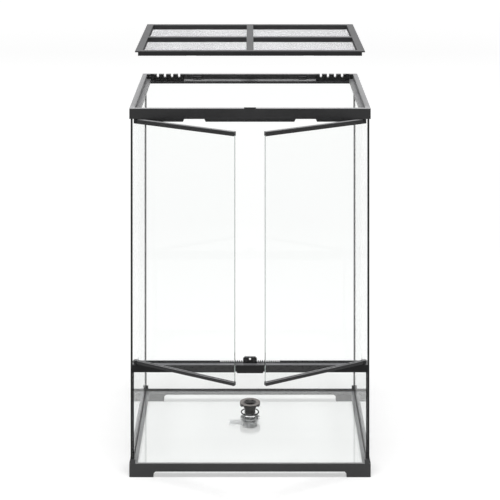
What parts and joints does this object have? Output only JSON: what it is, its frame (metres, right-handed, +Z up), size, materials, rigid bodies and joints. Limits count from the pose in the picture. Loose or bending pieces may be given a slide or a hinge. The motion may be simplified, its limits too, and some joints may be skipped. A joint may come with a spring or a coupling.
{
  "type": "reptile terrarium",
  "caption": "Tall front-opening glass terrarium with two hinged doors, rocking latch, lift-off screen cover, closable cable inlets and a floor drain.",
  "frame": {"origin": "middle of the footprint at ground level with the doors ajar", "axes": "+X to the right seen from the front, +Y to the back, +Z up"},
  "size_m": [0.607, 0.5898, 1.0675],
  "materials": {
    "frame_plastic": "satin, fine grain",
    "fitting_plastic": "satin",
    "clear_glass": "clear float glass",
    "silicone": "satin silicone",
    "magnet_ferrite": "dull black ferrite",
    "seal_rubber": "matte rubber",
    "steel": "fine brushed",
    "chrome": "polished",
    "drain_plastic": "satin",
    "drain_fitting": "milky grey, slightly translucent",
    "mesh_metal": "fine woven wire mesh"
  },
  "bodies": {
    "tank": {"base_frame": "frame_plastic", "floor_pane": "clear_glass", "back_pane": "clear_glass", "left_pane": "clear_glass", "right_pane": "clear_glass", "front_pane": "clear_glass", "floor_seal": "silicone", "rear_corner_seals": "silicone", "front_corner_seals": "silicone", "left_edge_strip": "silicone", "right_edge_strip": "silicone", "crossbar": "frame_plastic", "top_frame": "frame_plastic", "cover_clips": "fitting_plastic", "drain_nut": "drain_fitting", "drain_elbow": "drain_fitting"},
    "left_door": {"left_door_glass": "clear_glass", "left_top_rail": "frame_plastic", "left_bottom_rail": "frame_plastic", "left_hinge_ends": "fitting_plastic", "left_hinge_pins": "steel", "left_strike": "steel"},
    "right_door": {"right_door_glass": "clear_glass", "right_top_rail": "frame_plastic", "right_bottom_rail": "frame_plastic", "right_hinge_ends": "fitting_plastic", "right_hinge_pins": "steel", "right_strike": "steel"},
    "cover": {"cover_frame": "frame_plastic", "cover_mesh": "mesh_metal"},
    "drain": {"drain_body": "drain_plastic"},
    "drain_seal": {"drain_ring": "seal_rubber"},
    "latch": {"latch_lever": "fitting_plastic", "latch_pin": "steel", "catch_magnets": "magnet_ferrite", "latch_screw": "chrome"},
    "left_slide": {"left_inlet_slide": "fitting_plastic"},
    "right_slide": {"right_inlet_slide": "fitting_plastic"}
  },
  "joints": [
    {"name": "left_door_hinge", "type": "hinge", "parent": "tank", "child": "left_door", "pos_m": [-0.288, -0.1543, 0.59], "axis": [0, 0, -1], "range_deg": [-28.5, 76.5]},
    {"name": "right_door_hinge", "type": "hinge", "parent": "tank", "child": "right_door", "pos_m": [0.288, -0.1543, 0.59], "axis": [0, 0, 1], "range_deg": [-28.5, 76.5]},
    {"name": "cover_lift_off", "type": "slide", "parent": "tank", "child": "cover", "axis": [0, 0, 1], "range_m": [-0.142, 0.05]},
    {"name": "drain_lift_out", "type": "slide", "parent": "tank", "child": "drain", "axis": [0, 0, 1], "range_m": [-0.029, 0.02]},
    {"name": "seal_lift_out", "type": "slide", "parent": "tank", "child": "drain_seal", "axis": [0, 0, 1], "range_m": [-0.008, 0.00552]},
    {"name": "latch_rock", "type": "hinge", "parent": "tank", "child": "latch", "pos_m": [0, -0.15055, 0.275], "axis": [-1, 0, 0], "range_deg": [0, 12], "stiffness_Nm_per_rad": 0.5},
    {"name": "left_inlet_shift", "type": "slide", "parent": "tank", "child": "left_slide", "axis": [-1, 0, 0], "range_m": [0, 0.01]},
    {"name": "right_inlet_shift", "type": "slide", "parent": "tank", "child": "right_slide", "axis": [1, 0, 0], "range_m": [0, 0.01]}
  ],
  "couplings": [
    {"joint": "seal_lift_out", "follows": "drain_lift_out", "ratio": 0.27586}
  ]
}
